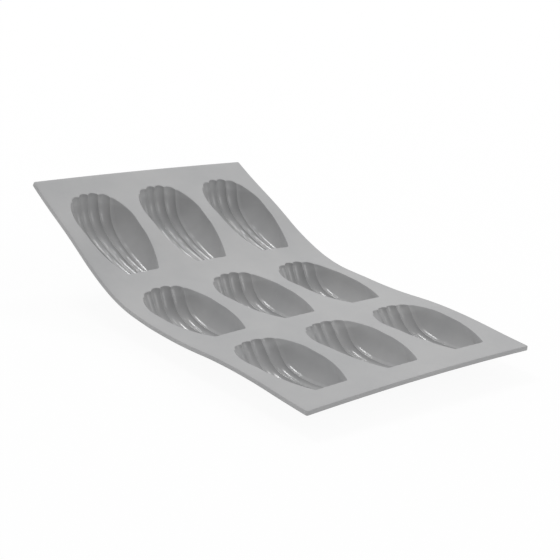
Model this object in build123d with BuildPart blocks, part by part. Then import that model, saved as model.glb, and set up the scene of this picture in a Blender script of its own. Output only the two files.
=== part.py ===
from build123d import *

import os
from math import atan2, cos, hypot, radians, sin

# A flexible baking mould: one sheet of silicone rubber with nine fluted shell cavities in three rows,
# lying in the wave that it takes when it is flexed. X runs across the sheet, Y from its front edge to
# its back edge, and Z up. The straight ends of the cavities face the front, the scalloped ends the back.
# The cups of the front and middle rows stand on the ground, and the back row is curled up.

# Cavity, with the ribs between its flutes
cavity_length = 78.0
cavity_width = 44.0
rib_depth = 16.6
flute_depth = 2.2
outer_rib_width = 2.2
cup_wall = 1.5

# Sheet, and the land left between its cavities and round them
sheet_thickness = 3.0
row_gap = 16.5
column_gap = 11.0
side_margin = 11.0
front_margin = 18.1
back_margin = 14.9

# Between two rows, a bare strip bends that keeps this clear of the cavities
web_clearance = 4.25

# How far the lowest cup is pressed flat where it stands
foot_flat = 0.5

# Height above the rim of the axis that the sections of a cavity swing about, and their inner reach
swing_height = 6.0
swing_core = 2.5

# Length past the work that cutting tools reach
overrun = 6.0

# Bent pose: slope of the sheet in degrees at even steps from its front edge to its back edge
bend_slopes = (1.9, 3.8, 0.2, -4.6, 0.3, 3.1, 19.2, 28.7, 23.8, 28.6)
# The sheet's middle stands higher than its sides
crown_height = 3.0
crown_shares = (0.6, 0.1, 1.0, 0.63, 0.32)
# The twist: how much higher the right edge stands than the middle
edge_lift = 6.1
edge_lift_shares = (0.23, 0.16, 0.01, -0.56, -1.0)
sheet_sections = 18

# One row for each section of a cavity, from over its scalloped end, along the floor, to over its straight
# end. The middle rib's place along the cavity and its depth, as shares of the cavity's length and of the rib
# depth (-1 is the swing axis's own height). The reach of the inner and outer ribs, as shares of the middle
# rib's reach. Their places across, as shares of half the width. The flutes' depth, as a share of the flute
# depth. The bulge of the smooth flank, as a share of its chord.
shell_shares = (
    (0.468, -1.0, 0.972, 0.878, 0.341, 0.682, 0.93, 0.115),
    (0.464, -0.5, 0.972, 0.877, 0.341, 0.682, 0.93, 0.118),
    (0.459, 0.0, 0.972, 0.876, 0.341, 0.682, 0.93, 0.12),
    (0.414, 0.349, 0.945, 0.848, 0.332, 0.65, 0.93, 0.128),
    (0.353, 0.651, 0.947, 0.845, 0.323, 0.618, 0.92, 0.127),
    (0.27, 0.873, 0.953, 0.86, 0.314, 0.591, 0.91, 0.12),
    (0.165, 0.982, 0.957, 0.877, 0.3, 0.564, 0.89, 0.12),
    (0.051, 0.997, 0.96, 0.905, 0.282, 0.536, 0.86, 0.12),
    (-0.05, 0.952, 0.96, 0.925, 0.264, 0.514, 0.83, 0.12),
    (-0.154, 0.892, 0.962, 0.942, 0.245, 0.495, 0.8, 0.12),
    (-0.246, 0.795, 0.97, 0.955, 0.232, 0.482, 0.78, 0.11),
    (-0.335, 0.695, 0.98, 0.97, 0.223, 0.473, 0.76, 0.09),
    (-0.41, 0.58, 0.99, 0.985, 0.214, 0.468, 0.73, 0.072),
    (-0.46, 0.41, 1.0, 1.0, 0.209, 0.468, 0.65, 0.066),
    (-0.486, 0.22, 1.0, 1.0, 0.214, 0.491, 0.42, 0.062),
    (-0.5, 0.0, 1.0, 1.0, 0.223, 0.532, 0.12, 0.058),
    (-0.505, -0.5, 1.0, 1.0, 0.225, 0.54, 0.1, 0.058),
    (-0.509, -1.0, 1.0, 1.0, 0.227, 0.545, 0.1, 0.058),
)
# Outside of a cup, as shares of its wall: behind a rib, and beside the outer rib
rib_backing_share = 1.2
rib_side_share = 0.5
# Flutes are a little shallower outside than inside
outer_flute_share = 0.85
# How far the outer rib stands proud of the flank beside it, as a share of the flutes' depth there
outer_rib_share = 0.45
# Where a cup is deepest, as a share of its length from its middle, and how much of the flutes is left there
deepest_share = 0.08
deepest_flute_share = 0.66

row_names = ("front", "middle", "back")
column_names = ("left", "centre", "right")

# Sizes that follow: the cavities' pitches, the whole sheet, and the strips that bend
row_pitch = cavity_length + row_gap
column_pitch = cavity_width + column_gap
front_row_distance = front_margin + cavity_length / 2
sheet_length = front_row_distance + 2 * row_pitch + cavity_length / 2 + back_margin
sheet_width = 2 * column_pitch + cavity_width + 2 * side_margin
web_width = row_gap - 2 * web_clearance


def spread(values, distance):
    """The value at a distance along the sheet, from values at even steps."""
    place = min(max(distance / sheet_length, 0), 1) * (len(values) - 1)
    step = min(int(place), len(values) - 2)
    return values[step] + (values[step + 1] - values[step]) * (place - step)


def profile_point(distance):
    """Where the unrolled distance lies, from the front edge, on the chain of arcs that the sheet follows."""
    step = sheet_length / (len(bend_slopes) - 1)
    along, up, start = 0, 0, 0
    while start < distance:
        end = min(start + step, distance)
        slope_in = radians(spread(bend_slopes, start))
        slope_out = radians(spread(bend_slopes, end))
        half_turn = (slope_out - slope_in) / 2
        chord = (end - start) * (sin(half_turn) / half_turn if half_turn else 1)
        along += chord * cos(slope_in + half_turn)
        up += chord * sin(slope_in + half_turn)
        start = end
    return along, up


def crown(distance):
    return crown_height * spread(crown_shares, distance)


def sheet_plane(distance):
    """The plane square to the sheet at a distance: X across it and Y out of its top face."""
    slope = radians(spread(bend_slopes, distance))
    tilt = atan2(edge_lift * spread(edge_lift_shares, distance), sheet_width / 2)
    along, up = profile_point(distance)
    return Plane(
        origin=(0, along - middle_along, up + front_edge_height),
        x_dir=(cos(tilt), -sin(slope) * sin(tilt), cos(slope) * sin(tilt)),
        z_dir=(0, -cos(slope), -sin(slope)),
    )


def cup_plane(row, column):
    """The rim plane of a cup, square to the sheet at the middle of the cup, with Y towards the back."""
    distance = front_row_distance + row * row_pitch
    across = (column - 1) * column_pitch
    half_width = sheet_width / 2
    section = sheet_plane(distance)
    lean = -2 * crown(distance) * across / half_width**2
    height = crown(distance) * (1 - (across / half_width) ** 2)
    return Plane(
        origin=section.from_local_coords((across, height)),
        x_dir=section.x_dir * cos(lean) + section.y_dir * sin(lean),
        z_dir=section.y_dir * cos(lean) - section.x_dir * sin(lean),
    )


def build_sheet(depth):
    """Lofts the whole bent sheet, with its top face in place and the given depth below it."""
    half_width = sheet_width / 2
    with BuildPart() as sheet:
        for index in range(sheet_sections + 1):
            distance = sheet_length * index / sheet_sections
            rise = crown(distance)
            with BuildSketch(sheet_plane(distance)):
                with BuildLine():
                    top = ThreePointArc((-half_width, 0), (0, rise), (half_width, 0))
                    bottom = ThreePointArc((-half_width, -depth), (0, rise - depth), (half_width, -depth))
                    Line(top @ 0, bottom @ 0)
                    Line(top @ 1, bottom @ 1)
                make_face()
        loft()
    return sheet.part


def build_shell(wall):
    """Lofts the space inside a cavity, up to its walls, or with a wall, the outside of its cup."""
    half_width = cavity_width / 2
    with BuildPart() as shell:
        for along, depth, near, far, near_side, far_side, flute, bulge in shell_shares:
            across_axis = along * cavity_length
            below_axis = swing_height + depth * (rib_depth if depth > 0 else swing_height)
            turn = atan2(below_axis, across_axis)
            reach = hypot(below_axis, across_axis)
            backing = wall * rib_backing_share
            sag = flute * flute_depth * (outer_flute_share if wall else 1)
            top = Vector(half_width + wall, swing_core)
            ribs = [
                Vector(far_side * half_width + wall * rib_side_share, reach * far + backing),
                Vector(near_side * half_width, reach * near + backing),
                Vector(0, reach + backing),
            ]
            # The flank runs out beside the outer rib, and a small hollow leads from it up to the rib
            side = (ribs[0] - top).normalized()
            foot = ribs[0] + Vector(side.Y, -side.X) * sag * outer_rib_share
            chord = foot - top
            belly = (top + foot) / 2 + Vector(chord.Y, -chord.X) * bulge
            with BuildSketch(Plane(origin=(0, 0, swing_height), x_dir=(1, 0, 0), z_dir=(0, sin(turn), cos(turn)))):
                with BuildLine():
                    flank = ThreePointArc(top, belly, foot, mode=Mode.PRIVATE)
                    end = 1 - outer_rib_width / flank.length
                    hollow = TangentArc(flank @ end, ribs[0], tangent=flank % end, mode=Mode.PRIVATE)
                    arcs = [(top, flank @ (end / 2), flank @ end), (flank @ end, hollow @ 0.5, ribs[0])]
                    arcs += [(a, (a + b) / 2 + Vector(0, sag), b) for a, b in zip(ribs, ribs[1:])]
                    arcs += [[Vector(-point.X, point.Y) for point in arc[::-1]] for arc in reversed(arcs)]
                    for arc in arcs:
                        ThreePointArc(*arc)
                    Line(arcs[-1][-1], top)
                make_face()
        loft()
    return shell.part


# Place of the sheet: its middle over the origin, and its lowest cup pressed flat on the ground
last_lift = edge_lift * min(edge_lift_shares) - sheet_thickness
back_along = profile_point(sheet_length)[0]
middle_along = (back_along - last_lift * sin(radians(bend_slopes[-1]))) / 2
front_edge_height = 0
cup_depth = rib_depth + flute_depth * deepest_flute_share + cup_wall
foot_heights = [
    cup_plane(row, column).from_local_coords((0, deepest_share * cavity_length, -cup_depth)).Z
    for row in (0, 1)
    for column in (0, 1, 2)
]
front_edge_height = -min(foot_heights) - foot_flat

sheet = build_sheet(sheet_thickness)
below_the_top = build_sheet(cup_depth + overrun)
cavity = build_shell(0)
cup_outside = build_shell(cup_wall)

os.makedirs("parts", exist_ok=True)

# Web edges, from the front of the sheet to its back
gap_middles = [front_row_distance + (row + 0.5) * row_pitch for row in (0, 1)]
web_edges = [middle + side * web_width / 2 for middle in gap_middles for side in (-1, 1)]

# Panels: the land round each row of cups
panel_edges = [(None, web_edges[0]), (web_edges[1], web_edges[2]), (web_edges[3], None)]
for row, (start, end) in enumerate(panel_edges):
    with BuildPart() as panel:
        add(sheet)
        if start:
            split(bisect_by=sheet_plane(start), keep=Keep.BOTTOM)
        if end:
            split(bisect_by=sheet_plane(end), keep=Keep.TOP)
        for column in range(len(column_names)):
            with Locations(Location(cup_plane(row, column))):
                add(cup_outside, mode=Mode.SUBTRACT)
    panel.part.label = f"{row_names[row]}_panel"
    export_step(panel.part, f"parts/{panel.part.label}.step")

# Webs: the bare strips between the panels
for name, start, end in (("front", *web_edges[:2]), ("back", *web_edges[2:])):
    with BuildPart() as web:
        add(sheet)
        split(bisect_by=sheet_plane(start), keep=Keep.BOTTOM)
        split(bisect_by=sheet_plane(end), keep=Keep.TOP)
    web.part.label = f"{name}_flex_web"
    export_step(web.part, f"parts/{web.part.label}.step")

# Cups: thin shells that fill the panels' holes and hang below them
for row, row_name in enumerate(row_names):
    for column, column_name in enumerate(column_names):
        with BuildPart() as cup:
            with Locations(Location(cup_plane(row, column))):
                add(cup_outside)
            add(below_the_top, mode=Mode.INTERSECT)
            with Locations(Location(cup_plane(row, column))):
                add(cavity, mode=Mode.SUBTRACT)
            with Locations((0, 0, -overrun)):
                Box(2 * sheet_width, 2 * sheet_length, 2 * overrun, mode=Mode.SUBTRACT)
        cup.part.label = f"{row_name}_{column_name}_cup"
        export_step(cup.part, f"parts/{cup.part.label}.step")
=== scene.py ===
from cmath import exp, phase
from math import atan2, ceil, cos, hypot, pi, radians, sin

import bmesh
import bpy
from mathutils import Matrix, Vector
from mathutils.geometry import delaunay_2d_cdt


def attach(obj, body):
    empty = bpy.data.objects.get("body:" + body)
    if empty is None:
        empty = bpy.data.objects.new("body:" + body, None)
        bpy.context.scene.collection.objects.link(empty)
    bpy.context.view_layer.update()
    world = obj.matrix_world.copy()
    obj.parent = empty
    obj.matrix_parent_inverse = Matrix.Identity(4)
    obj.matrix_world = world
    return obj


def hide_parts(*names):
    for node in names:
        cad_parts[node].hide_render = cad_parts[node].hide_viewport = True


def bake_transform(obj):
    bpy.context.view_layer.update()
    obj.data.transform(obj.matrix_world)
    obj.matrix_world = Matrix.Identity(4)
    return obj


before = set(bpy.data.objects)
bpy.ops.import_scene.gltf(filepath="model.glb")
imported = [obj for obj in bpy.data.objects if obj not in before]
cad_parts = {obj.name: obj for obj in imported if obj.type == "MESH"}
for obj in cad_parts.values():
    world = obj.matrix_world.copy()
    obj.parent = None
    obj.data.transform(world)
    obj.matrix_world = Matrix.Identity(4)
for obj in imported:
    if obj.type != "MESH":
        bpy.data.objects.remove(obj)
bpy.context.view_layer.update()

# Sizes of the mould in millimetres and its pose in degrees, the same as in the part's source
CAVITY_LENGTH = 78.0
CAVITY_WIDTH = 44.0
RIB_DEPTH = 16.6
FLUTE_DEPTH = 2.2
OUTER_RIB_WIDTH = 2.2
RIB_COUNT = 5
CUP_WALL = 1.5
SHEET_THICKNESS = 3.0
ROW_GAP = 16.5
COLUMN_GAP = 11.0
SIDE_MARGIN = 11.0
FRONT_MARGIN = 18.1
BACK_MARGIN = 14.9
WEB_CLEARANCE = 4.25
FOOT_FLAT = 0.5
SWING_HEIGHT = 6.0
SWING_CORE = 2.5
BEND_SLOPES = (1.9, 3.8, 0.2, -4.6, 0.3, 3.1, 19.2, 28.7, 23.8, 28.6)
CROWN_HEIGHT = 3.0
CROWN_SHARES = (0.6, 0.1, 1.0, 0.63, 0.32)
EDGE_LIFT = 6.1
EDGE_LIFT_SHARES = (0.23, 0.16, 0.01, -0.56, -1.0)
SHELL_SHARES = (
    (0.468, -1.0, 0.972, 0.878, 0.341, 0.682, 0.93, 0.115),
    (0.464, -0.5, 0.972, 0.877, 0.341, 0.682, 0.93, 0.118),
    (0.459, 0.0, 0.972, 0.876, 0.341, 0.682, 0.93, 0.12),
    (0.414, 0.349, 0.945, 0.848, 0.332, 0.65, 0.93, 0.128),
    (0.353, 0.651, 0.947, 0.845, 0.323, 0.618, 0.92, 0.127),
    (0.27, 0.873, 0.953, 0.86, 0.314, 0.591, 0.91, 0.12),
    (0.165, 0.982, 0.957, 0.877, 0.3, 0.564, 0.89, 0.12),
    (0.051, 0.997, 0.96, 0.905, 0.282, 0.536, 0.86, 0.12),
    (-0.05, 0.952, 0.96, 0.925, 0.264, 0.514, 0.83, 0.12),
    (-0.154, 0.892, 0.962, 0.942, 0.245, 0.495, 0.8, 0.12),
    (-0.246, 0.795, 0.97, 0.955, 0.232, 0.482, 0.78, 0.11),
    (-0.335, 0.695, 0.98, 0.97, 0.223, 0.473, 0.76, 0.09),
    (-0.41, 0.58, 0.99, 0.985, 0.214, 0.468, 0.73, 0.072),
    (-0.46, 0.41, 1.0, 1.0, 0.209, 0.468, 0.65, 0.066),
    (-0.486, 0.22, 1.0, 1.0, 0.214, 0.491, 0.42, 0.062),
    (-0.5, 0.0, 1.0, 1.0, 0.223, 0.532, 0.12, 0.058),
    (-0.505, -0.5, 1.0, 1.0, 0.225, 0.54, 0.1, 0.058),
    (-0.509, -1.0, 1.0, 1.0, 0.227, 0.545, 0.1, 0.058),
)
RIB_BACKING_SHARE = 1.2
RIB_SIDE_SHARE = 0.5
OUTER_FLUTE_SHARE = 0.85
OUTER_RIB_SHARE = 0.45
DEEPEST_SHARE = 0.08
DEEPEST_FLUTE_SHARE = 0.66
ROWS = ("front", "middle", "back")
COLUMNS = ("left", "centre", "right")
ROW_PITCH = CAVITY_LENGTH + ROW_GAP
COLUMN_PITCH = CAVITY_WIDTH + COLUMN_GAP
FRONT_ROW_DISTANCE = FRONT_MARGIN + CAVITY_LENGTH / 2
SHEET_LENGTH = FRONT_ROW_DISTANCE + 2 * ROW_PITCH + CAVITY_LENGTH / 2 + BACK_MARGIN
SHEET_WIDTH = 2 * COLUMN_PITCH + CAVITY_WIDTH + 2 * SIDE_MARGIN
WEB_WIDTH = ROW_GAP - 2 * WEB_CLEARANCE

# Fineness of the meshes: the roundings and the steps in millimetres, and the places of points as shares
RIM_ROUNDING = 0.4
RIM_CUT_SHARES = (-1.8, -1, -0.5, 0, 0.5, 1)
EDGE_ROUNDING = 0.5
CORNER_ROUNDING = 1.2
ROUNDING_STEPS = 4
TURN_STEP = 0.9
OUTSIDE_TURN_STEP = 1.8
LAND_STEP = 2.5
EDGE_STEP = 4.0
WEB_STEP = 1.0
SEAM_ROWS = (0.7, 1.6)
CLEAR_OF_HOLE = 1.0
WELD = 0.02
FINE_WELD = 0.002
FLANK_STEPS = 14
FLANK_STEP_SHARES = [step / FLANK_STEPS for step in range(1, FLANK_STEPS)]
FLUTE_STEP_SHARES = (0.035, 0.1, 0.2, 0.33, 0.5, 0.67, 0.8, 0.9, 0.965)
RIB_BLUNTING = 0.25
SHORT_SHARE = 0.01
FINE_TURNS = 2000
BLEND_INSET_SHARE = 0.1
MM = 0.001


def spread(values, distance):
    """The value at a distance along the sheet, from values at even steps."""
    place = min(max(distance / SHEET_LENGTH, 0), 1) * (len(values) - 1)
    step = min(int(place), len(values) - 2)
    return values[step] + (values[step + 1] - values[step]) * (place - step)


def next_point(along, up, start, end):
    """The end of the arc that the sheet follows between two distances."""
    slope_in = radians(spread(BEND_SLOPES, start))
    slope_out = radians(spread(BEND_SLOPES, end))
    half_turn = (slope_out - slope_in) / 2
    chord = (end - start) * (sin(half_turn) / half_turn if half_turn else 1)
    return along + chord * cos(slope_in + half_turn), up + chord * sin(slope_in + half_turn)


KNOT_STEP = SHEET_LENGTH / (len(BEND_SLOPES) - 1)
KNOTS = [(0.0, 0.0)]
for knot in range(len(BEND_SLOPES) - 1):
    KNOTS.append(next_point(*KNOTS[-1], knot * KNOT_STEP, (knot + 1) * KNOT_STEP))


def profile_point(distance):
    knot = max(0, min(int(distance / KNOT_STEP), len(KNOTS) - 2))
    return next_point(*KNOTS[knot], knot * KNOT_STEP, distance)


def crown(distance):
    return CROWN_HEIGHT * spread(CROWN_SHARES, distance)


def bent(across, distance, height, origin=(0.0, 0.0)):
    """Where a point of the flat mould lies in the bent one, in millimetres."""
    slope = radians(spread(BEND_SLOPES, distance))
    tilt = atan2(EDGE_LIFT * spread(EDGE_LIFT_SHARES, distance), SHEET_WIDTH / 2)
    along, up = profile_point(distance)
    height += crown(distance) * (1 - (2 * across / SHEET_WIDTH) ** 2)
    out = height * cos(tilt) + across * sin(tilt)
    return Vector((
        across * cos(tilt) - height * sin(tilt),
        along - origin[0] - out * sin(slope),
        up + origin[1] + out * cos(slope),
    ))


def foot_height(row, column):
    """Height of the deepest point of a cup that stays rigid, as in the part."""
    distance = FRONT_ROW_DISTANCE + row * ROW_PITCH
    across = (column - 1) * COLUMN_PITCH
    slope = radians(spread(BEND_SLOPES, distance))
    tilt = atan2(EDGE_LIFT * spread(EDGE_LIFT_SHARES, distance), SHEET_WIDTH / 2)
    lean = tilt - 2 * crown(distance) * across / (SHEET_WIDTH / 2) ** 2
    depth = RIB_DEPTH + FLUTE_DEPTH * DEEPEST_FLUTE_SHARE + CUP_WALL
    rim = bent(across, distance, 0)
    return rim.z - depth * cos(lean) * cos(slope) + DEEPEST_SHARE * CAVITY_LENGTH * sin(slope)


# The lowered corner of the back edge, under the sheet, reaches farthest along
LOW_CORNER_RISE = EDGE_LIFT * min(EDGE_LIFT_SHARES) - SHEET_THICKNESS
MIDDLE_ALONG = (KNOTS[-1][0] - LOW_CORNER_RISE * sin(radians(BEND_SLOPES[-1]))) / 2
STANDING_ROWS = (0, 1)
FRONT_EDGE_HEIGHT = -FOOT_FLAT - min(
    foot_height(row, column) for row in STANDING_ROWS for column in range(len(COLUMNS))
)


def in_row_frame(across, distance, height):
    return bent(across, distance, height, (MIDDLE_ALONG, FRONT_EDGE_HEIGHT))


def arc(first, middle, last, shares):
    """Points at shares of the circular arc through three points, given as complex numbers."""
    ratio = (last - first) / (middle - first)
    centre = first - (first - middle) * (ratio - abs(ratio) ** 2) / (2j * ratio.imag)
    turn = phase((middle - centre) / (first - centre)) + phase((last - centre) / (middle - centre))
    return [centre + (first - centre) * exp(1j * turn * share) for share in shares]


class Curves:
    """Smooth curves through the rows of a table, which never overshoot its values."""

    def __init__(self, places, rows):
        self.places = places
        self.rows = rows
        gaps = [b - a for a, b in zip(places, places[1:])]
        rises = [[(y - x) / gap for x, y in zip(a, b)] for a, b, gap in zip(rows, rows[1:], gaps)]
        self.slopes = [rises[0]]
        for left, right, before, after in zip(gaps, gaps[1:], rises, rises[1:]):
            near, far = 2 * right + left, right + 2 * left
            self.slopes.append([
                (near + far) / (near / a + far / b) if a * b > 0 else 0.0 for a, b in zip(before, after)
            ])
        self.slopes.append(rises[-1])

    def at(self, place):
        step = max(i for i in range(len(self.places) - 1) if self.places[i] <= place or i == 0)
        gap = self.places[step + 1] - self.places[step]
        t = (place - self.places[step]) / gap
        return [
            a * (1 + 2 * t) * (1 - t) ** 2 + b * t * t * (3 - 2 * t)
            + gap * t * (1 - t) * (p * (1 - t) - q * t)
            for a, b, p, q in zip(*self.rows[step:step + 2], *self.slopes[step:step + 2])
        ]


turns, shapes = [], []
for along, depth, *shares in SHELL_SHARES:
    across_axis = along * CAVITY_LENGTH
    below_axis = SWING_HEIGHT + depth * (RIB_DEPTH if depth > 0 else SWING_HEIGHT)
    turns.append(atan2(below_axis, across_axis))
    shapes.append([hypot(below_axis, across_axis)] + shares)
SHELL = Curves(turns, shapes)


def shell_section(turn, wall):
    """The shell's points at one turn about its axis, from the left flank over the ribs to the right one."""
    reach, near, far, near_side, far_side, flute, bulge = SHELL.at(turn)
    half_width = CAVITY_WIDTH / 2
    backing = wall * RIB_BACKING_SHARE
    sag = flute * FLUTE_DEPTH * (OUTER_FLUTE_SHARE if wall else 1)
    outer = complex(far_side * half_width + wall * RIB_SIDE_SHARE, reach * far + backing)
    inner = complex(near_side * half_width, reach * near + backing)
    middle = complex(0, reach + backing)
    top = complex(half_width + wall, SWING_CORE)
    # The flank runs out beside the outer rib, and a small hollow leads from it up to the rib
    side = (outer - top) / abs(outer - top)
    foot = outer - 1j * side * sag * OUTER_RIB_SHARE
    belly = (top + foot) / 2 - 1j * (foot - top) * bulge
    knee_share = 1 - OUTER_RIB_WIDTH / abs(foot - top)
    before, knee = arc(top, belly, foot, (knee_share - SHORT_SHARE, knee_share))
    tangent = (knee - before) / abs(knee - before)
    half_turn = phase((outer - knee) / tangent) / 2
    hollow = knee + tangent * exp(1j * half_turn) * abs(outer - knee) / (2 * cos(half_turn))
    half = [top, *arc(top, belly, foot, [share * knee_share for share in FLANK_STEP_SHARES]), knee]
    half += [*arc(knee, hollow, outer, FLUTE_STEP_SHARES), outer]
    for rib, next_rib in ((outer, inner), (inner, middle)):
        half += [*arc(rib, (rib + next_rib) / 2 + 1j * sag, next_rib, FLUTE_STEP_SHARES), next_rib]
    section = [complex(-point.real, point.imag) for point in half[:-1]] + half[::-1]
    first_rib = len(FLANK_STEP_SHARES) + len(FLUTE_STEP_SHARES) + 2
    for rib in range(RIB_COUNT):
        index = first_rib + rib * (len(FLUTE_STEP_SHARES) + 1)
        chord = (section[index - 1] + section[index + 1]) / 2
        section[index] += (chord - section[index]) * RIB_BLUNTING
    return [
        Vector((point.real, point.imag * cos(turn), SWING_HEIGHT - point.imag * sin(turn)))
        for point in section
    ]


def even_turns(step):
    """Turns at even steps along the middle rib."""
    fine = [pi * index / FINE_TURNS for index in range(FINE_TURNS + 1)]
    reaches = [SHELL.at(turn)[0] for turn in fine]
    lengths = [0.0]
    for a, b, near, far in zip(fine, fine[1:], reaches, reaches[1:]):
        lengths.append(lengths[-1] + hypot(far * cos(b) - near * cos(a), far * sin(b) - near * sin(a)))
    count = ceil(lengths[-1] / step)
    found, index = [], 0
    for number in range(count + 1):
        while lengths[index] < lengths[-1] * number / count - FINE_WELD:
            index += 1
        found.append(fine[index])
    return found


def grid_faces(mesh, rows):
    for before, after in zip(rows, rows[1:]):
        for a, b, c, d in zip(before, before[1:], after[1:], after):
            mesh.faces.new((a, b, c, d))


def open_edges(mesh):
    return [edge for edge in mesh.edges if len(edge.link_faces) == 1]


def loop_of(edges):
    """The corners of a closed chain of edges, in order."""
    links = {}
    for edge in edges:
        for vert in edge.verts:
            links.setdefault(vert, []).append(edge)
    vert, edge, found = edges[0].verts[0], edges[0], []
    while True:
        found.append(vert)
        vert = edge.other_vert(vert)
        if vert is found[0]:
            return found
        edge = next(link for link in links[vert] if link is not edge)


def cut_above(mesh, height):
    geometry = [*mesh.verts, *mesh.edges, *mesh.faces]
    bmesh.ops.bisect_plane(
        mesh, geom=geometry, dist=WELD, plane_co=(0, 0, height), plane_no=(0, 0, 1), clear_outer=True
    )
    bmesh.ops.remove_doubles(mesh, verts=mesh.verts, dist=WELD)


def build_cup():
    """A closed cup of the flat mould about its own middle, and its outlines in the sheet's two faces."""
    cup = bmesh.new()
    aside = [cup.verts.layers.float.new(name) for name in ("aside_x", "aside_y")]
    rows = []
    for turn in even_turns(TURN_STEP):
        row = []
        for inside, outside in zip(shell_section(turn, 0), shell_section(turn, CUP_WALL)):
            vert = cup.verts.new(inside)
            vert[aside[0]], vert[aside[1]] = ((outside - inside) / CUP_WALL).xy
            row.append(vert)
        rows.append(row)
    grid_faces(cup, rows)
    cut_above(cup, CUP_WALL)
    for share in RIM_CUT_SHARES:
        geometry = [*cup.verts, *cup.edges, *cup.faces]
        level = (0, 0, RIM_ROUNDING * share)
        bmesh.ops.bisect_plane(cup, geom=geometry, dist=WELD, plane_co=level, plane_no=(0, 0, 1))
    for face in cup.faces:
        face.material_index = int(face.calc_center_median().z < -RIM_ROUNDING / 2)
    # The wall above the rim folds outwards, over a rounding, and lies level with the sheet's top face
    for vert in cup.verts:
        rise = vert.co.z
        if rise > -RIM_ROUNDING:
            out = rise
            height = 0.0
            if rise < RIM_ROUNDING:
                turn = (rise / RIM_ROUNDING + 1) * pi / 4
                out = RIM_ROUNDING * (1 - cos(turn))
                height = RIM_ROUNDING * (sin(turn) - 1)
            vert.co = Vector((vert.co.x + out * vert[aside[0]], vert.co.y + out * vert[aside[1]], height))
    lip = open_edges(cup)
    top_outline = [vert.co.xy.copy() for vert in loop_of(lip)]

    shell = bmesh.new()
    grid_faces(shell, [
        [shell.verts.new(point) for point in shell_section(turn, CUP_WALL)]
        for turn in even_turns(OUTSIDE_TURN_STEP)
    ])
    cut_above(shell, -SHEET_THICKNESS)
    bottom_outline = [vert.co.xy.copy() for vert in loop_of(open_edges(shell))]
    joined = {vert: cup.verts.new(vert.co) for vert in shell.verts}
    for face in shell.faces:
        cup.faces.new([joined[vert] for vert in face.verts])
    shell.free()
    rims = open_edges(cup)
    for edge in rims:
        edge.smooth = False
    bmesh.ops.bridge_loops(cup, edges=rims)
    bmesh.ops.recalc_face_normals(cup, faces=cup.faces)
    return cup, top_outline, bottom_outline


def inside_outline(point, outline):
    """Whether a point lies in a closed outline."""
    inside = False
    for a, b in zip(outline, outline[1:] + outline[:1]):
        if (a.y > point.y) != (b.y > point.y) and point.x < a.x + (b.x - a.x) * (point.y - a.y) / (b.y - a.y):
            inside = not inside
    return inside


def stations(low, high, step):
    count = ceil((high - low) / step)
    return [low + (high - low) * index / count for index in range(count + 1)]


HALF_WIDTH = SHEET_WIDTH / 2
ACROSS = stations(EDGE_ROUNDING - HALF_WIDTH, HALF_WIDTH - EDGE_ROUNDING, EDGE_STEP)
# The sheet's rounded edge: how far in from the edge, and how high above the top face
EDGE_PROFILE = [
    (EDGE_ROUNDING * (1 - sin(turn)), EDGE_ROUNDING * (cos(turn) - 1))
    for turn in (pi / 2 * step / ROUNDING_STEPS for step in range(ROUNDING_STEPS + 1))
]
EDGE_PROFILE += [(inset, -SHEET_THICKNESS - height) for inset, height in reversed(EDGE_PROFILE)]


class Sheet:
    """A mesh of the flat sheet, with its corners welded, that comes out bent."""

    def __init__(self):
        self.mesh = bmesh.new()
        self.found = {}

    def vert(self, across, distance, height):
        key = (round(across, 3), round(distance, 3), round(height, 3))
        if key not in self.found:
            self.found[key] = self.mesh.verts.new((across, distance, height))
        return self.found[key]

    def face(self, corners):
        corners = [corner for index, corner in enumerate(corners) if corner is not corners[index - 1]]
        if len(corners) > 2:
            return self.mesh.faces.new(corners)

    def edge_strip(self, path):
        """The sheet's outer edge along a path of places with their outward directions."""
        rings = [
            [self.vert(x - inset * nx, y - inset * ny, height) for inset, height in EDGE_PROFILE]
            for x, y, nx, ny in path
        ]
        for before, after in zip(rings, rings[1:]):
            for a, b, c, d in zip(before, before[1:], after[1:], after):
                self.face((a, b, c, d))

    def end_ring(self, distance):
        """The closed section of the sheet at a distance."""
        ring = [self.vert(across, distance, 0) for across in ACROSS]
        ring += [self.vert(HALF_WIDTH - inset, distance, height) for inset, height in EDGE_PROFILE[1:-1]]
        ring += [self.vert(across, distance, -SHEET_THICKNESS) for across in reversed(ACROSS)]
        ring += [self.vert(inset - HALF_WIDTH, distance, height) for inset, height in EDGE_PROFILE[-2:0:-1]]
        return ring

    def cap(self, distance):
        """Closes the sheet at a distance, with a sharp edge."""
        ring = self.end_ring(distance)
        self.face(ring)
        for a, b in zip(ring, ring[1:] + ring[:1]):
            self.mesh.edges.get((a, b)).smooth = False


def side_path(side, low, high):
    """Straight path along one side of the sheet, towards the back."""
    return [(side * HALF_WIDTH, distance, side, 0.0) for distance in stations(low, high, LAND_STEP)]


def round_end(distance, way):
    """Path round one end of the sheet, from its left side to its right side."""
    inner = HALF_WIDTH - CORNER_ROUNDING
    path = []
    for side in (-1, 1):
        corner = []
        for step in range(ROUNDING_STEPS + 1):
            turn = pi / 2 * step / ROUNDING_STEPS
            nx, ny = side * cos(turn), way * sin(turn)
            corner.append((
                side * inner + nx * CORNER_ROUNDING, distance + (ny - way) * CORNER_ROUNDING, nx, ny
            ))
        path += corner if side < 0 else (
            [(across, distance, 0.0, float(way)) for across in stations(-inner, inner, LAND_STEP)[1:-1]]
            + corner[::-1]
        )
    return path


def column_at(across):
    """The column of cups nearest to a place across the sheet."""
    return min(max(round(across / COLUMN_PITCH) + 1, 0), len(COLUMNS) - 1)


def add_chain(points, edges, places, closed=False):
    first = len(points)
    points.extend(Vector(place) for place in places)
    edges.extend((index, index + 1) for index in range(first, len(points) - 1))
    if closed:
        edges.append((len(points) - 1, first))


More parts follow.
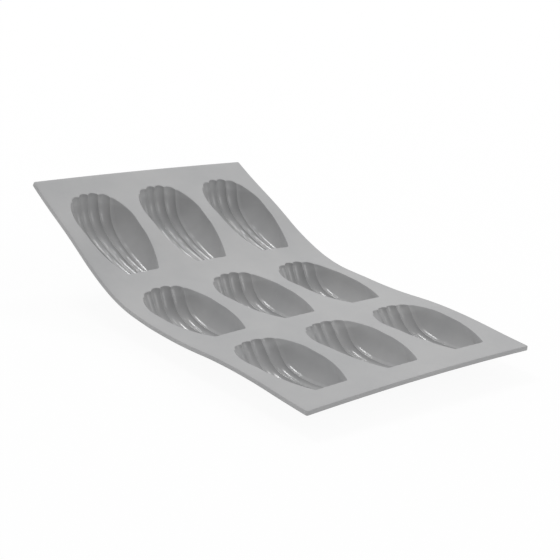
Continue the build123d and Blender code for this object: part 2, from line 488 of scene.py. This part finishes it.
def fill_places(low, high, front, back, holes):
    """Places inside a row's land: two rows along each seam, and an even grid clear of the holes."""
    seam_rows = [low + gap for gap in SEAM_ROWS if not front]
    seam_rows += [high - gap for gap in SEAM_ROWS if not back]
    places = [(across, distance) for across in ACROSS[1:-1] for distance in seam_rows]
    margin = SEAM_ROWS[-1] + LAND_STEP / 2
    places += [
        (across, distance)
        for across in stations(LAND_STEP - HALF_WIDTH, HALF_WIDTH - LAND_STEP, LAND_STEP)
        for distance in stations(low + margin, high - margin, LAND_STEP)
    ]
    found = []
    for place in map(Vector, places):
        hole = holes[column_at(place.x)]
        clear = all((place - point).length > CLEAR_OF_HOLE for point in hole)
        if clear and not inside_outline(place, hole):
            found.append(place)
    return found


def build_panel(row, low, high, outlines):
    """One row's land, with holes for its cups. The front and back rows run on to the sheet's own ends."""
    sheet = Sheet()
    front = low == 0
    back = high == SHEET_LENGTH
    start = CORNER_ROUNDING if front else low
    end = SHEET_LENGTH - CORNER_ROUNDING if back else high
    paths = [side_path(-1, start, end), side_path(1, start, end)]
    if front:
        paths.append(round_end(0.0, -1))
    if back:
        paths.append(round_end(SHEET_LENGTH, 1))
    for path in paths:
        sheet.edge_strip(path)
    middle = FRONT_ROW_DISTANCE + row * ROW_PITCH
    for face_height, outline in zip((0.0, -SHEET_THICKNESS), outlines):
        holes = [
            [point + Vector(((column - 1) * COLUMN_PITCH, middle)) for point in outline]
            for column in range(len(COLUMNS))
        ]
        points, edges = [], []
        for hole in holes:
            add_chain(points, edges, hole, closed=True)
        for path in paths:
            inner = [(x - EDGE_ROUNDING * nx, y - EDGE_ROUNDING * ny) for x, y, nx, ny in path]
            add_chain(points, edges, inner)
        for joint, free in ((low, front), (high, back)):
            if not free:
                add_chain(points, edges, [(across, joint) for across in ACROSS])
        points += fill_places(low, high, front, back, holes)
        verts, _, faces, *_ = delaunay_2d_cdt(points, edges, [], 0, FINE_WELD / 2)
        for corners in faces:
            centre = sum((verts[corner] for corner in corners), Vector((0, 0))) / len(corners)
            hole = holes[column_at(centre.x)]
            if not inside_outline(centre, hole):
                sheet.face([sheet.vert(*verts[corner], face_height) for corner in corners])
    for joint, free in ((low, front), (high, back)):
        if not free:
            sheet.cap(joint)
    bmesh.ops.remove_doubles(sheet.mesh, verts=sheet.mesh.verts, dist=FINE_WELD)
    rims = open_edges(sheet.mesh)
    for edge in rims:
        edge.smooth = False
    for column in range(len(COLUMNS)):
        bmesh.ops.bridge_loops(sheet.mesh, edges=[
            edge for edge in rims if column_at(edge.verts[0].co.x) == column
        ])
    bmesh.ops.recalc_face_normals(sheet.mesh, faces=sheet.mesh.faces)
    return sheet.mesh


def build_web(low, high):
    sheet = Sheet()
    rings = [sheet.end_ring(distance) for distance in stations(low, high, WEB_STEP)]
    for before, after in zip(rings, rings[1:]):
        for a, b, c, d in zip(before, before[1:] + before[:1], after[1:] + after[:1], after):
            sheet.face((a, b, c, d))
    sheet.cap(low)
    sheet.cap(high)
    bmesh.ops.recalc_face_normals(sheet.mesh, faces=sheet.mesh.faces)
    return sheet.mesh


def add_piece(name, mesh, node, offset=(0.0, 0.0)):
    """Bends a flat mesh, in millimetres, into the row frame and makes the piece that stands for a node."""
    mesh = mesh.copy()
    for vert in mesh.verts:
        place = in_row_frame(vert.co.x + offset[0], vert.co.y + offset[1], vert.co.z)
        place.z = max(place.z, 0.0)
        vert.co = place * MM
    data = bpy.data.meshes.new(name)
    mesh.to_mesh(data)
    mesh.free()
    data.shade_smooth()
    data.update()
    piece = bpy.data.objects.new(name, data)
    bpy.context.scene.collection.objects.link(piece)
    data.materials.append(silicone)
    data.materials.append(polished)
    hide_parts(node)
    return piece


def shader(name):
    material = bpy.data.materials.new(name)
    material.use_nodes = True
    nodes, links = material.node_tree.nodes, material.node_tree.links
    return material, nodes, links, nodes["Principled BSDF"]


def add_node(nodes, kind, **values):
    node = nodes.new(kind)
    for name, value in values.items():
        if name in node.bl_rna.properties:
            setattr(node, name, value)
        else:
            node.inputs[name.replace("_", " ")].default_value = value
    return node


def grey_silicone(name, smooth, dull):
    """Grey silicone rubber, with its roughness where it is smoothest and dullest."""
    material, nodes, links, surface = shader(name)
    place = add_node(nodes, "ShaderNodeTexCoord")
    cloud = add_node(nodes, "ShaderNodeTexNoise", Scale=22.0, Detail=4.0, Roughness=0.6)
    dust = add_node(nodes, "ShaderNodeTexNoise", Scale=900.0, Detail=3.0, Roughness=0.7)
    links.new(place.outputs["Object"], cloud.inputs["Vector"])
    links.new(place.outputs["Object"], dust.inputs["Vector"])
    tint = add_node(nodes, "ShaderNodeValToRGB")
    tint.color_ramp.elements[0].position = 0.35
    tint.color_ramp.elements[0].color = (0.375, 0.377, 0.382, 1)
    tint.color_ramp.elements[1].position = 0.65
    tint.color_ramp.elements[1].color = (0.41, 0.41, 0.412, 1)
    links.new(cloud.outputs["Fac"], tint.inputs["Fac"])
    links.new(tint.outputs["Color"], surface.inputs["Base Color"])
    polish = add_node(nodes, "ShaderNodeMapRange", From_Min=0.3, From_Max=0.7, To_Min=smooth, To_Max=dull)
    links.new(dust.outputs["Fac"], polish.inputs["Value"])
    links.new(polish.outputs["Result"], surface.inputs["Roughness"])
    grain = add_node(nodes, "ShaderNodeBump", Strength=0.12, Distance=0.0001)
    links.new(dust.outputs["Fac"], grain.inputs["Height"])
    links.new(grain.outputs["Normal"], surface.inputs["Normal"])
    surface.inputs["Specular IOR Level"].default_value = 0.45
    return material


# The land is matt and the cavities are smoother, as the steel that they were moulded in
silicone = grey_silicone("grey_silicone", 0.5, 0.6)
polished = grey_silicone("polished_grey_silicone", 0.2, 0.28)

# The mould
cup_mesh, *outlines = build_cup()
gap_middles = [FRONT_ROW_DISTANCE + (row + 0.5) * ROW_PITCH for row in (0, 1)]
web_edges = [middle + side * WEB_WIDTH / 2 for middle in gap_middles for side in (-1, 1)]
panel_edges = [(0.0, web_edges[0]), (web_edges[1], web_edges[2]), (web_edges[3], SHEET_LENGTH)]
for row, (row_name, (low, high)) in enumerate(zip(ROWS, panel_edges)):
    panel = add_piece(f"{row_name}_land", build_panel(row, low, high, outlines), f"{row_name}_panel")
    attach(panel, f"{row_name}_row")
    for column, column_name in enumerate(COLUMNS):
        offset = ((column - 1) * COLUMN_PITCH, FRONT_ROW_DISTANCE + row * ROW_PITCH)
        cup = add_piece(f"{row_name}_{column_name}_shell", cup_mesh, f"{row_name}_{column_name}_cup", offset)
        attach(cup, f"{row_name}_row")
for name, (low, high), bodies in (
    ("front", web_edges[:2], ("front_row", "middle_row")),
    ("back", web_edges[2:], ("middle_row", "back_row")),
):
    web = add_piece(f"{name}_web", build_web(low, high), f"{name}_flex_web")
    inset = WEB_WIDTH * BLEND_INSET_SHARE
    in_row_frame(0, low + inset, -SHEET_THICKNESS / 2) * MM
    in_row_frame(0, high - inset, -SHEET_THICKNESS / 2) * MM
    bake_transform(web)

# Floor, in metres, just below the feet, and how far its colour goes to plain white where the camera sees it
FLOOR_REACH = 6.0
FLOOR_HEIGHT = -0.0003
FLOOR_WHITE_SHARE = 0.94
floor_data = bpy.data.meshes.new("floor")
floor_data.from_pydata(
    [(x * FLOOR_REACH, y * FLOOR_REACH, FLOOR_HEIGHT) for x, y in ((-1, -1), (1, -1), (1, 1), (-1, 1))],
    [], [(0, 1, 2, 3)],
)
floor = bpy.data.objects.new("floor", floor_data)
bpy.context.scene.collection.objects.link(floor)
paper, nodes, links, surface = shader("pale_floor")
surface.inputs["Base Color"].default_value = (0.9, 0.9, 0.9, 1)
surface.inputs["Roughness"].default_value = 0.9
surface.inputs["Specular IOR Level"].default_value = 0.0
glow = add_node(nodes, "ShaderNodeEmission", Strength=1.0)
mix = add_node(nodes, "ShaderNodeMixShader")
rays = add_node(nodes, "ShaderNodeLightPath")
seen = add_node(nodes, "ShaderNodeMath", operation="MULTIPLY")
seen.inputs[1].default_value = FLOOR_WHITE_SHARE
links.new(rays.outputs["Is Camera Ray"], seen.inputs[0])
links.new(seen.outputs[0], mix.inputs["Fac"])
links.new(surface.outputs[0], mix.inputs[1])
links.new(glow.outputs[0], mix.inputs[2])
links.new(mix.outputs[0], nodes["Material Output"].inputs["Surface"])
floor_data.materials.append(paper)

# World, which lights the mould from all sides and is plain white behind it
FILL_STRENGTH = 0.51
world = bpy.data.worlds.new("studio")
bpy.context.scene.world = world
world.use_nodes = True
nodes, links = world.node_tree.nodes, world.node_tree.links
fill = nodes["Background"]
fill.inputs["Color"].default_value = (1, 1, 1, 1)
fill.inputs["Strength"].default_value = FILL_STRENGTH
plain = add_node(nodes, "ShaderNodeBackground", Strength=1.0)
plain.inputs["Color"].default_value = (1, 1, 1, 1)
mix = add_node(nodes, "ShaderNodeMixShader")
rays = add_node(nodes, "ShaderNodeLightPath")
links.new(rays.outputs["Is Camera Ray"], mix.inputs["Fac"])
links.new(fill.outputs[0], mix.inputs[1])
links.new(plain.outputs[0], mix.inputs[2])
links.new(mix.outputs[0], nodes["World Output"].inputs["Surface"])


# Lamps: how far round from the back towards the right and how high they stand, in degrees, their sizes in
# metres and their powers in watts
LAMP_DISTANCE = 4.0
LAMP_TARGET = Vector((0, 0, 0.03))
for name, bearing, height, size, power in (
    ("back", -5.0, 58.0, 1.0, 54.0),
    ("back_right", 63.0, 50.0, 1.0, 24.0),
    ("low_right", 45.0, 25.0, 1.0, 6.0),
    ("low_left", 285.0, 5.0, 0.5, 16.0),
    ("front_right", 135.0, 30.0, 2.0, 27.0),
):
    turn, rise = radians(bearing), radians(height)
    lamp_data = bpy.data.lights.new(name, "AREA")
    lamp_data.shape = "DISK"
    lamp_data.size = size
    lamp_data.energy = power
    lamp = bpy.data.objects.new(name, lamp_data)
    lamp.location = LAMP_DISTANCE * Vector((cos(rise) * sin(turn), cos(rise) * cos(turn), sin(rise)))
    lamp.rotation_euler = (LAMP_TARGET - lamp.location).to_track_quat("-Z", "Y").to_euler()
    bpy.context.scene.collection.objects.link(lamp)

# Camera, fitted to the photograph: its angles in degrees, its lens in millimetres, and how far it sees and
# its place in metres, with the height counted from the middle of the sheet's front edge
CAMERA_AZIMUTH = 40.147
CAMERA_ELEVATION = 19.207
CAMERA_ROLL = 3.332
CAMERA_LENS = 111.407
CAMERA_SENSOR = 36.0
CAMERA_REACH = 50.0
CAMERA_PLACE = Vector((-0.666354, -0.802921, 0.378659))
azimuth, elevation, roll = radians(CAMERA_AZIMUTH), radians(CAMERA_ELEVATION), radians(CAMERA_ROLL)
forward = Vector((sin(azimuth) * cos(elevation), cos(azimuth) * cos(elevation), -sin(elevation)))
level = Vector((cos(azimuth), -sin(azimuth), 0))
upright = level.cross(forward)
right = level * cos(roll) + upright * sin(roll)
up = upright * cos(roll) - level * sin(roll)
camera_data = bpy.data.cameras.new("camera")
camera_data.sensor_width = CAMERA_SENSOR
camera_data.lens = CAMERA_LENS
camera_data.clip_end = CAMERA_REACH
camera = bpy.data.objects.new("camera", camera_data)
turned = Matrix((right, up, -forward)).transposed().to_4x4()
camera.matrix_world = Matrix.Translation(CAMERA_PLACE + Vector((0, 0, FRONT_EDGE_HEIGHT * MM))) @ turned
bpy.context.scene.collection.objects.link(camera)
bpy.context.scene.camera = camera

bpy.context.scene.view_settings.view_transform = "Standard"
